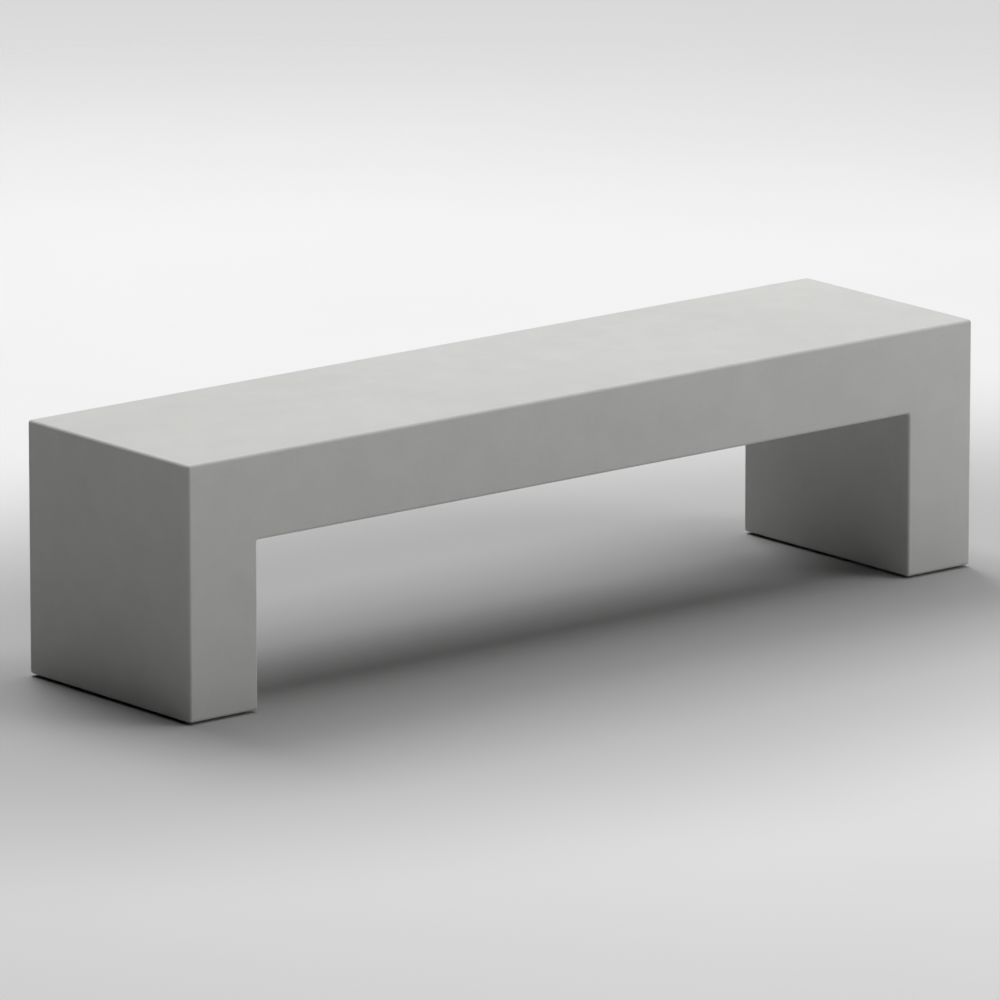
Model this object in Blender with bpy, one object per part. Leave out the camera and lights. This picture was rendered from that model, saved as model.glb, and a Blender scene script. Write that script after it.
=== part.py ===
"""Precast concrete bench with no back: one U-shaped casting, its reinforcement cage, and its feet.

Run it with: blender --background --python part.py
Units are metres and +Z is up. The origin is on the floor, under the middle of the bench.
X runs along the bench, and its front looks along -Y.
"""

import math

import bmesh
import bpy
from mathutils import Vector

# Casting
LENGTH = 1.800
DEPTH = 0.456
CASTING_HEIGHT = 0.457
LEG_THICKNESS = 0.151
SEAT_THICKNESS = 0.154
ARRIS_RADIUS = 0.006  # every outer edge of the casting
ARRIS_SEGMENTS = 4
INNER_CORNER_RADIUS = 0.003  # where the legs meet the underside of the seat
INNER_CORNER_SEGMENTS = 2

# Clearance left between pieces that touch, or that the concrete grips
GAP = 0.0003

# Reinforcement cage
COVER = 0.030  # concrete outside the links
MAIN_BAR_DIAMETER = 0.010
LINK_DIAMETER = 0.006
LINK_BEND_RADIUS = 0.015  # to the middle of the wire
PORTAL_BEND_RADIUS = 0.040  # to the middle of the bar
SEAT_LINK_COUNT = 8
SEAT_LINK_END_INSET = 0.060  # from a leg's inner face to the nearest seat link
LEG_LINK_COUNT = 3
LEG_LINK_FOOT_INSET = 0.070  # from the sole to the lowest link
LEG_LINK_TOP_INSET = 0.040  # from the highest link to the underside of the seat
BAR_SIDES = 8  # a flat every 45 degrees, so crossing bars meet flat to flat
BEND_CHORDS = 3  # an odd number, so a link's corner has a flat for the bar inside it

# Threaded sockets cast into the feet, for lifting the casting and for bolting it down
SOCKET_DIAMETER = 0.022
SOCKET_BORE_DIAMETER = 0.014
SOCKET_BORE_DEPTH = 0.055
SOCKET_CHAMFER = 0.001
SOCKET_HEAD = 0.016  # steel above the cross pin's hole
SOCKET_TO_PAD = 0.030  # from a pad's edge to the socket's axis
CROSS_PIN_DIAMETER = 0.010
CROSS_PIN_COVER = 0.025  # concrete past each end of the pin
TURNED_SIDES = 24

# Plugs that close the sockets
PLUG_FLANGE_DIAMETER = 0.026
PLUG_FLANGE_THICKNESS = 0.0025
PLUG_STEM_LENGTH = 0.010
PLUG_CHAMFER = 0.0008
PLUG_SLOT_WIDTH = 0.002
PLUG_SLOT_LENGTH = 0.014
PLUG_SLOT_DEPTH = 0.0012

# Rubber pads let into the soles
PAD_SIDE = 0.090
PAD_THICKNESS = 0.008
PAD_PROJECTION = 0.004
PAD_CORNER_RADIUS = 0.010
PAD_CORNER_SEGMENTS = 3
PAD_CHAMFER = 0.001
PAD_EDGE_INSET = 0.030  # from the front or back face to the pad's edge
CUT_OVERRUN = 0.005  # how far a cut runs past the face that it opens

# Levels and places that follow from those sizes
SOLE_Z = PAD_PROJECTION
TOP_Z = SOLE_Z + CASTING_HEIGHT
SEAT_BOTTOM_Z = TOP_Z - SEAT_THICKNESS
LEG_X = LENGTH / 2 - LEG_THICKNESS / 2
LINK_INSET = COVER + LINK_DIAMETER / 2
FLAT_BAR_INSET = LINK_INSET + LINK_DIAMETER / 2 + GAP + MAIN_BAR_DIAMETER / 2
CORNER_NEST = (
    LINK_BEND_RADIUS * math.cos(math.pi / 4 / BEND_CHORDS)
    - LINK_DIAMETER / 2
    - GAP
    - MAIN_BAR_DIAMETER / 2
)
CORNER_BAR_INSET = LINK_INSET + LINK_BEND_RADIUS - CORNER_NEST / math.sqrt(2)
BAR_SIDESTEP = MAIN_BAR_DIAMETER + GAP  # between two bars tied side by side
BAR_END_INSET = COVER + LINK_DIAMETER + 2 * MAIN_BAR_DIAMETER
CORNER_BAR_Y = DEPTH / 2 - CORNER_BAR_INSET
CROSS_PIN_RISE = LEG_LINK_FOOT_INSET + LINK_DIAMETER / 2 + GAP + CROSS_PIN_DIAMETER / 2
SOCKET_LENGTH = CROSS_PIN_RISE + CROSS_PIN_DIAMETER / 2 + GAP + SOCKET_HEAD
PAD_Y = DEPTH / 2 - PAD_EDGE_INSET - PAD_SIDE / 2
SOCKET_Y = PAD_Y - PAD_SIDE / 2 - SOCKET_TO_PAD

X_AXIS = Vector((1, 0, 0))
Y_AXIS = Vector((0, 1, 0))
Z_AXIS = Vector((0, 0, 1))
ENDS = (("left", -1), ("right", 1))
SIDES = (("front", -1), ("back", 1))
ROWS = (("front", -1), ("middle", 0), ("back", 1))
SHARP_ANGLE = math.radians(50)
DRILL_POINT_ANGLE = math.radians(118)
MERGE_DISTANCE = 1e-6


def clear_scene():
    for obj in list(bpy.data.objects):
        bpy.data.objects.remove(obj)


def make_material(name, colour, roughness, metallic=0.0):
    material = bpy.data.materials.new(name)
    material.use_nodes = True
    shader = material.node_tree.nodes["Principled BSDF"]
    shader.inputs["Base Color"].default_value = (*colour, 1.0)
    shader.inputs["Roughness"].default_value = roughness
    shader.inputs["Metallic"].default_value = metallic
    return material


def finished_mesh(name, bm, material=None):
    """The bmesh as a mesh with outward faces, smooth apart from its sharp edges."""
    bmesh.ops.recalc_face_normals(bm, faces=bm.faces)
    mesh = bpy.data.meshes.new(name)
    bm.to_mesh(mesh)
    bm.free()
    if material:
        mesh.materials.append(material)
    mesh.shade_smooth()
    mesh.set_sharp_from_angle(angle=SHARP_ANGLE)
    return mesh


def place(name, mesh, location, parent):
    obj = bpy.data.objects.new(name, mesh)
    bpy.context.scene.collection.objects.link(obj)
    obj.location = location
    obj.parent = parent
    return obj


def place_cutter(name, mesh, location, parent, group=None):
    """A helper that only shapes other pieces; those in the group cut the casting."""
    obj = bpy.data.objects.new(name, mesh)
    bpy.context.scene.collection.objects.link(obj)
    if group:
        group.objects.link(obj)
    obj.location = location
    obj.parent = parent
    obj.hide_render = True
    obj.display_type = "WIRE"
    return obj


def cut(obj, cutter):
    modifier = obj.modifiers.new("cut_" + cutter.name, "BOOLEAN")
    modifier.operation = "DIFFERENCE"
    modifier.solver = "EXACT"
    modifier.object = cutter


def bent_path(corners, bend_radius, closed=False):
    """The straight runs between the corners, joined by right-angle bends in BEND_CHORDS chords."""
    path = []
    last = len(corners) - 1
    for i, corner in enumerate(corners):
        if not closed and i in (0, last):
            path.append(corner)
            continue
        arrive = (corner - corners[i - 1]).normalized()
        leave = (corners[(i + 1) % len(corners)] - corner).normalized()
        centre = corner + (leave - arrive) * bend_radius
        for step in range(BEND_CHORDS + 1):
            angle = math.pi / 2 * step / BEND_CHORDS
            path.append(centre + (arrive * math.sin(angle) - leave * math.cos(angle)) * bend_radius)
    return path


def lengthened(path, extra):
    """An open path with both of its ends moved outwards."""
    first = path[0] + (path[0] - path[1]).normalized() * extra
    last = path[-1] + (path[-1] - path[-2]).normalized() * extra
    return [first, *path[1:-1], last]


def swept_bar(path, square_to_path, diameter, closed=False):
    """A bmesh of a bar along a path that lies in a plane, with mitred bends.

    The plane's normal is square_to_path. The bar's flats stand diameter / 2 from its axis."""
    bm = bmesh.new()
    corner_radius = diameter / 2 / math.cos(math.pi / BAR_SIDES)
    rings = []
    last = len(path) - 1
    for i, point in enumerate(path):
        arrive = (point - path[i - 1]).normalized()
        leave = (path[(i + 1) % len(path)] - point).normalized()
        if not closed and i == 0:
            arrive = leave
        if not closed and i == last:
            leave = arrive
        along = (arrive + leave).normalized()
        mitre = 1 / along.dot(arrive)
        across = square_to_path.cross(along) * mitre
        ring = []
        for side in range(BAR_SIDES):
            angle = 2 * math.pi * (side + 0.5) / BAR_SIDES
            offset = across * math.cos(angle) + square_to_path * math.sin(angle)
            ring.append(bm.verts.new(point + offset * corner_radius))
        rings.append(ring)
    followers = rings[1:] + rings[:1] if closed else rings[1:]
    for ring, follower in zip(rings, followers):
        for side in range(BAR_SIDES):
            after = (side + 1) % BAR_SIDES
            bm.faces.new((ring[side], ring[after], follower[after], follower[side]))
    if not closed:
        bm.faces.new(rings[0])
        bm.faces.new(rings[-1])
    return bm


def turned(profile):
    """A bmesh of the (radius, height) profile turned about Z; its ends are on the axis."""
    bm = bmesh.new()
    verts = [bm.verts.new((radius, 0, height)) for radius, height in profile]
    edges = [bm.edges.new(pair) for pair in zip(verts, verts[1:])]
    bmesh.ops.spin(
        bm,
        geom=verts + edges,
        cent=(0, 0, 0),
        axis=(0, 0, 1),
        angle=2 * math.pi,
        steps=TURNED_SIDES,
        use_merge=True,
    )
    bmesh.ops.remove_doubles(bm, verts=bm.verts, dist=MERGE_DISTANCE)
    return bm


def round_off(bm, edges, radius, segments):
    bmesh.ops.bevel(
        bm,
        geom=edges,
        offset=radius,
        segments=segments,
        profile=0.5,
        affect="EDGES",
        material=-1,
    )


def casting_outline():
    """The bench seen from the front, anticlockwise from the left foot's outer corner."""
    end = LENGTH / 2
    inner = end - LEG_THICKNESS
    return [
        (-end, SOLE_Z),
        (-inner, SOLE_Z),
        (-inner, SEAT_BOTTOM_Z),
        (inner, SEAT_BOTTOM_Z),
        (inner, SOLE_Z),
        (end, SOLE_Z),
        (end, TOP_Z),
        (-end, TOP_Z),
    ]


def casting_mesh(material):
    bm = bmesh.new()
    front = bm.faces.new([bm.verts.new((x, -DEPTH / 2, z)) for x, z in casting_outline()])
    made = bmesh.ops.extrude_face_region(bm, geom=[front], use_keep_orig=True)
    moved = [item for item in made["geom"] if isinstance(item, bmesh.types.BMVert)]
    bmesh.ops.translate(bm, verts=moved, vec=(0, DEPTH, 0))
    bmesh.ops.recalc_face_normals(bm, faces=bm.faces)
    inner_corners = [edge for edge in bm.edges if not edge.is_convex]
    round_off(bm, inner_corners, INNER_CORNER_RADIUS, INNER_CORNER_SEGMENTS)
    arrises = [edge for edge in bm.edges if edge.is_convex and edge.calc_face_angle() > SHARP_ANGLE]
    round_off(bm, arrises, ARRIS_RADIUS, ARRIS_SEGMENTS)
    return finished_mesh("concrete_casting", bm, material)


def straight_bar(direction, square_to_path, length, diameter, growth):
    """A bar centred on the origin."""
    half = direction * (length / 2)
    path = lengthened([-half, half], growth)
    return swept_bar(path, square_to_path, diameter + 2 * growth)


def portal_bar(face_inset, growth):
    """A bar up one leg, along under the seat's face, and down the other leg."""
    x = LENGTH / 2 - face_inset
    foot = SOLE_Z + COVER
    top = TOP_Z - face_inset
    corners = [Vector(c) for c in ((-x, 0, foot), (-x, 0, top), (x, 0, top), (x, 0, foot))]
    path = lengthened(bent_path(corners, PORTAL_BEND_RADIUS), growth)
    return swept_bar(path, Y_AXIS, MAIN_BAR_DIAMETER + 2 * growth)


def link(first_axis, first_size, second_axis, second_size, growth):
    """A closed link round the cage, centred on the origin; sizes are those of the concrete round it."""
    a = first_axis * (first_size / 2 - LINK_INSET)
    b = second_axis * (second_size / 2 - LINK_INSET)
    path = bent_path([-a - b, a - b, a + b, b - a], LINK_BEND_RADIUS, closed=True)
    return swept_bar(path, first_axis.cross(second_axis), LINK_DIAMETER + 2 * growth, closed=True)


def evenly_spaced(first, last, count):
    return [first + (last - first) * i / (count - 1) for i in range(count)]


class Cage:
    """Adds each embedded piece twice: as itself, and a little larger as a cut in the casting."""

    def __init__(self, parent, material, cutters):
        self.parent = parent
        self.material = material
        self.cutters = cutters

    def add(self, names_and_places, make):
        piece = finished_mesh("bar", make(0.0), self.material)
        void = finished_mesh("bar_void", make(GAP))
        for name, location in names_and_places:
            place(name, piece, location, self.parent)
            place_cutter(name + "_void", void, location, self.parent, self.cutters)


def add_portal_bars(cage):
    corner_places = [(f"portal_bar_{row}", (0, side * CORNER_BAR_Y, 0)) for row, side in SIDES]
    cage.add(corner_places, lambda growth: portal_bar(CORNER_BAR_INSET, growth))
    cage.add([("portal_bar_middle", (0, 0, 0))], lambda growth: portal_bar(FLAT_BAR_INSET, growth))


def add_seat_bars(cage):
    """Straight bars low in the seat, where its own weight and the sitters' stretch it."""
    length = LENGTH - 2 * BAR_END_INSET
    insets = {-1: CORNER_BAR_INSET, 0: FLAT_BAR_INSET, 1: CORNER_BAR_INSET}
    places = [
        (f"seat_bar_{row}", (0, side * CORNER_BAR_Y, SEAT_BOTTOM_Z + insets[side]))
        for row, side in ROWS
    ]
    cage.add(places, lambda growth: straight_bar(X_AXIS, Y_AXIS, length, MAIN_BAR_DIAMETER, growth))


def add_leg_bars(cage):
    """Upright bars near each leg's inner face, each tied beside the seat bar that it passes."""
    foot = SOLE_Z + COVER
    top = TOP_Z - BAR_END_INSET
    x = LENGTH / 2 - LEG_THICKNESS + FLAT_BAR_INSET
    beside_seat_bar = {-1: BAR_SIDESTEP - CORNER_BAR_Y, 0: BAR_SIDESTEP, 1: CORNER_BAR_Y - BAR_SIDESTEP}
    places = [
        (f"{end}_leg_bar_{row}", (end_sign * x, beside_seat_bar[side], (foot + top) / 2))
        for end, end_sign in ENDS
        for row, side in ROWS
    ]
    cage.add(places, lambda growth: straight_bar(Z_AXIS, Y_AXIS, top - foot, MAIN_BAR_DIAMETER, growth))


def add_seat_links(cage):
    reach = LENGTH / 2 - LEG_THICKNESS - SEAT_LINK_END_INSET
    middle = (SEAT_BOTTOM_Z + TOP_Z) / 2
    stations = evenly_spaced(-reach, reach, SEAT_LINK_COUNT)
    places = [(f"seat_link_{i}", (x, 0, middle)) for i, x in enumerate(stations, 1)]
    cage.add(places, lambda growth: link(Y_AXIS, DEPTH, Z_AXIS, SEAT_THICKNESS, growth))


def add_leg_links(cage):
    lowest = SOLE_Z + LEG_LINK_FOOT_INSET
    highest = SEAT_BOTTOM_Z - LEG_LINK_TOP_INSET
    levels = evenly_spaced(lowest, highest, LEG_LINK_COUNT)
    places = [
        (f"{end}_leg_link_{i}", (end_sign * LEG_X, 0, z))
        for end, end_sign in ENDS
        for i, z in enumerate(levels, 1)
    ]
    cage.add(places, lambda growth: link(X_AXIS, LEG_THICKNESS, Y_AXIS, DEPTH, growth))


def add_cross_pins(cage):
    """Pins through the sockets that rest on the lowest leg links and stop the sockets pulling out."""
    length = LEG_THICKNESS - 2 * CROSS_PIN_COVER
    z = SOLE_Z + CROSS_PIN_RISE
    places = [(f"{name}_cross_pin", (x, y, z)) for name, x, y in foot_places(SOCKET_Y)]
    cage.add(places, lambda growth: straight_bar(X_AXIS, Y_AXIS, length, CROSS_PIN_DIAMETER, growth))


def foot_places(y):
    """A name and a place for each end of each sole, this far to the front and to the back."""
    return [
        (f"{end}_{side}", end_sign * LEG_X, side_sign * y)
        for end, end_sign in ENDS
        for side, side_sign in SIDES
    ]


def socket_mesh(material):
    """A turned steel socket, mouth down at the origin, with a blind bore."""
    outer = SOCKET_DIAMETER / 2
    bore = SOCKET_BORE_DIAMETER / 2
    drill_tip = bore / math.tan(DRILL_POINT_ANGLE / 2)
    profile = [
        (0, SOCKET_BORE_DEPTH + drill_tip),
        (bore, SOCKET_BORE_DEPTH),
        (bore, SOCKET_CHAMFER),
        (bore + SOCKET_CHAMFER, 0),
        (outer, 0),
        (outer, SOCKET_LENGTH - SOCKET_CHAMFER),
        (outer - SOCKET_CHAMFER, SOCKET_LENGTH),
        (0, SOCKET_LENGTH),
    ]
    return finished_mesh("socket", turned(profile), material)


def socket_void_mesh():
    outer = SOCKET_DIAMETER / 2 + GAP
    top = SOCKET_LENGTH + GAP
    profile = [(0, -CUT_OVERRUN), (outer, -CUT_OVERRUN), (outer, top), (0, top)]
    return finished_mesh("socket_void", turned(profile))


def add_sockets(parent, material, cutters):
    mesh = socket_mesh(material)
    void = socket_void_mesh()
    for name, x, y in foot_places(SOCKET_Y):
        socket = place(name + "_socket", mesh, (x, y, SOLE_Z), parent)
        cut(socket, bpy.data.objects[name + "_cross_pin_void"])
        place_cutter(name + "_socket_void", void, (x, y, SOLE_Z), parent, cutters)


def plug_mesh(material):
    """A cap with a stem that fills the socket's mouth; the origin is at the sole."""
    flange = PLUG_FLANGE_DIAMETER / 2
    stem = SOCKET_BORE_DIAMETER / 2 - GAP
    under = -GAP - PLUG_FLANGE_THICKNESS
    profile = [
        (0, under),
        (flange - PLUG_CHAMFER, under),
        (flange, under + PLUG_CHAMFER),
        (flange, -GAP),
        (stem, -GAP),
        (stem, PLUG_STEM_LENGTH - PLUG_CHAMFER),
        (stem - PLUG_CHAMFER, PLUG_STEM_LENGTH),
        (0, PLUG_STEM_LENGTH),
    ]
    return finished_mesh("plug", turned(profile), material)


def plug_slot_mesh():
    bm = bmesh.new()
    bmesh.ops.create_cube(bm, size=1)
    bmesh.ops.scale(bm, vec=(PLUG_SLOT_LENGTH, PLUG_SLOT_WIDTH, 2 * PLUG_SLOT_DEPTH), verts=bm.verts)
    return finished_mesh("plug_slot", bm)


def add_plugs(parent, material):
    mesh = plug_mesh(material)
    slot = plug_slot_mesh()
    under = SOLE_Z - GAP - PLUG_FLANGE_THICKNESS
    for name, x, y in foot_places(SOCKET_Y):
        plug = place(name + "_plug", mesh, (x, y, SOLE_Z), parent)
        cut(plug, place_cutter(name + "_plug_slot", slot, (x, y, under), parent))


def rounded_plate(side, corner_radius, bottom, top):
    bm = bmesh.new()
    bmesh.ops.create_cube(bm, size=1)
    bmesh.ops.scale(bm, vec=(side, side, top - bottom), verts=bm.verts)
    bmesh.ops.translate(bm, vec=(0, 0, (bottom + top) / 2), verts=bm.verts)
    half_height = (top - bottom) / 2
    upright = [e for e in bm.edges if abs(e.verts[0].co.z - e.verts[1].co.z) > half_height]
    round_off(bm, upright, corner_radius, PAD_CORNER_SEGMENTS)
    return bm


def pad_mesh(material):
    """A rubber pad standing on the floor."""
    bm = rounded_plate(PAD_SIDE, PAD_CORNER_RADIUS, 0, PAD_THICKNESS)
    rims = [edge for edge in bm.edges if edge.calc_face_angle() > SHARP_ANGLE]
    round_off(bm, rims, PAD_CHAMFER, 1)
    return finished_mesh("pad", bm, material)


def pad_recess_mesh():
    bm = rounded_plate(PAD_SIDE + 2 * GAP, PAD_CORNER_RADIUS + GAP, -CUT_OVERRUN, PAD_THICKNESS + GAP)
    return finished_mesh("pad_recess", bm)


def add_pads(parent, material, cutters):
    mesh = pad_mesh(material)
    recess = pad_recess_mesh()
    for name, x, y in foot_places(PAD_Y):
        place(name + "_pad", mesh, (x, y, 0), parent)
        place_cutter(name + "_pad_recess", recess, (x, y, 0), parent, cutters)


def add_casting(parent, material, cutters):
    casting = place("concrete_casting", casting_mesh(material), (0, 0, 0), parent)
    modifier = casting.modifiers.new("cage_and_feet", "BOOLEAN")
    modifier.operation = "DIFFERENCE"
    modifier.solver = "EXACT"
    modifier.operand_type = "COLLECTION"
    modifier.collection = cutters


def build_bench():
    clear_scene()
    concrete = make_material("concrete", (0.50, 0.50, 0.49), 0.85)
    bar_steel = make_material("reinforcing_steel", (0.16, 0.13, 0.11), 0.6, 0.8)
    plated_steel = make_material("zinc_plated_steel", (0.62, 0.62, 0.60), 0.35, 1.0)
    plastic = make_material("plug_plastic", (0.045, 0.045, 0.048), 0.5)
    rubber = make_material("pad_rubber", (0.028, 0.028, 0.028), 0.85)

    bench = bpy.data.objects.new("bench", None)
    bpy.context.scene.collection.objects.link(bench)
    cutters = bpy.data.collections.new("casting_cutters")

    cage = Cage(bench, bar_steel, cutters)
    add_portal_bars(cage)
    add_seat_bars(cage)
    add_leg_bars(cage)
    add_seat_links(cage)
    add_leg_links(cage)
    add_cross_pins(Cage(bench, plated_steel, cutters))
    add_sockets(bench, plated_steel, cutters)
    add_plugs(bench, plastic)
    add_pads(bench, rubber, cutters)
    add_casting(bench, concrete, cutters)


build_bench()
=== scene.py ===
# %% [markdown]
# # A precast concrete bench with no back
#
# The bench is one heavy casting: a thick seat slab that turns down at both ends into legs as deep
# as the seat. Its edges are softly rounded, its faces are smooth grey concrete, and nothing else
# shows from where a person stands. Underneath are four rubber pads and four plugs that close the
# threaded sockets it is lifted by, and inside the concrete is a cage of ribbed steel bars.
#
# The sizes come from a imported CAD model, which loads as a fixed frame. Everything made here is
# placed by measuring that frame, so the looks and the engineering can't drift apart.

# %% Load the frame
import math
import random

import bmesh
import bpy
from mathutils import Matrix, Vector, noise


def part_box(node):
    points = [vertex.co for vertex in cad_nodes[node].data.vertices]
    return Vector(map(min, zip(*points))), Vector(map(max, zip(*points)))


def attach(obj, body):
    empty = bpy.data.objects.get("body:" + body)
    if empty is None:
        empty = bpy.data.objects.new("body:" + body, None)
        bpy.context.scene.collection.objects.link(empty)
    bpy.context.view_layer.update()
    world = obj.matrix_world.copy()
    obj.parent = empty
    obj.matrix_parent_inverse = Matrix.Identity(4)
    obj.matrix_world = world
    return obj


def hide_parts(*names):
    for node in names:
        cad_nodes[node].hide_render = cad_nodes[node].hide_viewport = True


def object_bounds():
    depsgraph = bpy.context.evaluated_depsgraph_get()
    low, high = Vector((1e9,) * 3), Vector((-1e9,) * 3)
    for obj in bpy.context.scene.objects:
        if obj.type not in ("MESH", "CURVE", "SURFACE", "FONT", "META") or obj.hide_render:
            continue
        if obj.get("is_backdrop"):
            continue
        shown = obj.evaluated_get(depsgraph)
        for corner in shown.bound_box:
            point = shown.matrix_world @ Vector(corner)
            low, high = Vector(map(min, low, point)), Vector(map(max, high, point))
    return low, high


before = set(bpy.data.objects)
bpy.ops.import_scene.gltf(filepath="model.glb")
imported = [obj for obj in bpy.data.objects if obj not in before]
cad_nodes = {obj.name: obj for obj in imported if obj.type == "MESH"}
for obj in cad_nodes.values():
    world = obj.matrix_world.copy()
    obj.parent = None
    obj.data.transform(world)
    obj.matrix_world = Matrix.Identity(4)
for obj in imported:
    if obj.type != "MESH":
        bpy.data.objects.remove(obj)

cad_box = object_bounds()
cad_size = [round(1000 * side) for side in cad_box[1] - cad_box[0]]
print("frame:", len(cad_nodes), "nodes in", cad_size, "mm")

# %% [markdown]
# ## Measure the casting
#
# The bench is a U upside down, so six numbers describe it: how far it reaches to its end and its
# back, where its soles and its seat are, and where the opening's side and top are. The first four
# are its box. The other two could be typed in again, but a ray shot from the middle of the opening
# finds them on the CAD surface itself, and still does when the bench is made longer or thicker.

# %% Measure the casting
casting_low, casting_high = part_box("concrete_casting")
SOLE = casting_low.z
SEAT = casting_high.z
END = casting_high.x
BACK = casting_high.y
UNDER_SEAT_MIDDLE = Vector((0, 0, (SOLE + SEAT) / 3))


def reach(direction):
    """The first point of the CAD casting met from the middle of the opening."""
    hit, point, _, _ = cad_nodes["concrete_casting"].ray_cast(UNDER_SEAT_MIDDLE, direction)
    if not hit:
        raise RuntimeError("the opening under the seat has no wall there")
    return point


LEG_INSIDE = reach(Vector((1, 0, 0))).x
UNDERSIDE = reach(Vector((0, 0, 1))).z
print("legs", round(1000 * (END - LEG_INSIDE)), "mm thick")
print("seat", round(1000 * (SEAT - UNDERSIDE)), "mm thick")

# %% [markdown]
# ## Helpers that every piece shares
#
# A bmesh is a sheet of modelling clay in memory: operators extrude, bevel and spin it, and nothing
# shows until it is written to a mesh. These helpers do that last step. They could shade each
# piece flat or all smooth. Smooth shading with the real edges kept sharp suits both the rounded
# pieces and the flat ones, so every piece takes it.

# %% Helpers for pieces
SHARP_ANGLE = math.radians(34)
SAME_PLACE = 1e-6  # points closer than this are in one place, in metres
MERGE_DISTANCE = 1e-5  # points closer than this are joined


def bevel_edges(bm, edges, radius, segments):
    bmesh.ops.bevel(
        bm,
        geom=edges,
        offset=radius,
        segments=segments,
        profile=0.5,
        affect="EDGES",
        material=-1,
    )


def mesh_object(name, bm):
    """The bmesh as an object at the origin, smooth apart from its sharp edges."""
    mesh = bpy.data.meshes.new(name)
    bm.to_mesh(mesh)
    bm.free()
    mesh.shade_smooth()
    mesh.set_sharp_from_angle(angle=SHARP_ANGLE)
    obj = bpy.data.objects.new(name, mesh)
    bpy.context.scene.collection.objects.link(obj)
    return obj


def settle_modifiers(obj):
    """Gives the object the mesh that its modifiers make, and drops the modifiers."""
    bpy.context.view_layer.update()
    graph = bpy.context.evaluated_depsgraph_get()
    settled = bpy.data.meshes.new_from_object(obj.evaluated_get(graph))
    settled.name = obj.name
    obj.modifiers.clear()
    obj.data = settled


# %% [markdown]
# ## Helpers that hand a piece over
#
# A finished piece gets its material and is then told which body it rides on, and the CAD nodes
# that it stands for are hidden. Four lines for each piece would do it too, but one function can't
# forget any of them.

# %% Helpers to hand over and measure
def finish_piece(obj, material, nodes):
    """Dresses a finished piece, hangs it on the root body and hides the CAD nodes it stands for."""
    obj.data.materials.clear()
    obj.data.materials.append(material)
    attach(obj, "root")
    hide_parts(*nodes)


def describe(obj):
    faces = len(obj.data.polygons)
    size = [round(1000 * side, 1) for side in obj.dimensions]
    print(f"{obj.name}: {faces} faces, {size} mm")


def middle_of(node):
    low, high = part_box(node)
    return (low + high) / 2


# %% [markdown]
# ## Helpers for materials
#
# A finish is a small graph of nodes: a texture reads a place on the object and returns a number,
# and a few such numbers decide the colour, the gloss and the bumps. Writing each node on one line
# keeps such a graph readable as text. All patterns read Object coordinates, which are metres in
# the bench's own frame, so a scale of 100 means features about a centimetre across.

# %% Helpers for nodes
def add_node(material, kind, inputs=(), **settings):
    """A new node of a material or a world, from (socket, value) pairs; a value may be an output."""
    node = material.node_tree.nodes.new(kind)
    for name, value in settings.items():
        setattr(node, name, value)
    for key, value in inputs:
        if isinstance(value, bpy.types.NodeSocket):
            material.node_tree.links.new(value, node.inputs[key])
        else:
            node.inputs[key].default_value = value
    return node


def new_material(name, roughness, metallic=0.0, specular=0.5):
    material = bpy.data.materials.new(name)
    material.use_nodes = True
    shader = material.node_tree.nodes["Principled BSDF"]
    shader.inputs["Roughness"].default_value = roughness
    shader.inputs["Metallic"].default_value = metallic
    shader.inputs["Specular IOR Level"].default_value = specular
    return material


def connect(material, output, shader_input):
    shader = material.node_tree.nodes["Principled BSDF"]
    material.node_tree.links.new(output, shader.inputs[shader_input])


# %% [markdown]
# ## Helpers for patterns
#
# Every finish here is built from the same few moves: take a place, turn it into noise, restate the
# noise between two values, and tint, shade or raise the surface by it. Node groups could hold such
# moves, but short functions keep each number of a finish in sight where it is used.

# %% Helpers for patterns
def places(material, stretch=(1.0, 1.0, 1.0)):
    """Object coordinates, squeezed along an axis where stretch is over 1."""
    where = add_node(material, "ShaderNodeTexCoord").outputs["Object"]
    return add_node(material, "ShaderNodeMapping", [("Vector", where), ("Scale", stretch)]).outputs[0]


def grain(material, where, scale, detail=3.0, roughness=0.55, distortion=0.0):
    """Soft noise from 0 to 1, most of it near the middle."""
    inputs = [("Vector", where), ("Scale", scale), ("Detail", detail)]
    inputs += [("Roughness", roughness), ("Distortion", distortion)]
    return add_node(material, "ShaderNodeTexNoise", inputs).outputs["Fac"]


def spread(material, value, low, high, start=0.3, stop=0.7, smooth=False):
    """The value, restated so that start becomes low and stop becomes high."""
    inputs = [("Value", value), ("From Min", start), ("From Max", stop)]
    inputs += [("To Min", low), ("To Max", high)]
    interpolation = "SMOOTHSTEP" if smooth else "LINEAR"
    return add_node(material, "ShaderNodeMapRange", inputs, interpolation_type=interpolation).outputs[0]


def times(material, first, second):
    factors = [(0, first), (1, second)]
    return add_node(material, "ShaderNodeMath", factors, operation="MULTIPLY").outputs[0]


def blend_colours(material, share, first, second):
    """first where share is 0 and second where it is 1."""
    inputs = [(0, share), (6, (*first, 1.0)), (7, (*second, 1.0))]
    return add_node(material, "ShaderNodeMix", inputs, data_type="RGBA").outputs[2]


def shade_colour(material, colour, tone):
    """A colour made lighter or darker by a tone near 1."""
    inputs = [(0, colour), ("Scale", tone)]
    return add_node(material, "ShaderNodeVectorMath", inputs, operation="SCALE").outputs[0]


def bump(material, height, depth, below=None):
    """Raises the surface by height times depth in metres, over another bump if one is given."""
    inputs = [("Height", height), ("Distance", depth)]
    if below:
        inputs.append(("Normal", below))
    return add_node(material, "ShaderNodeBump", inputs).outputs[0]
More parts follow.
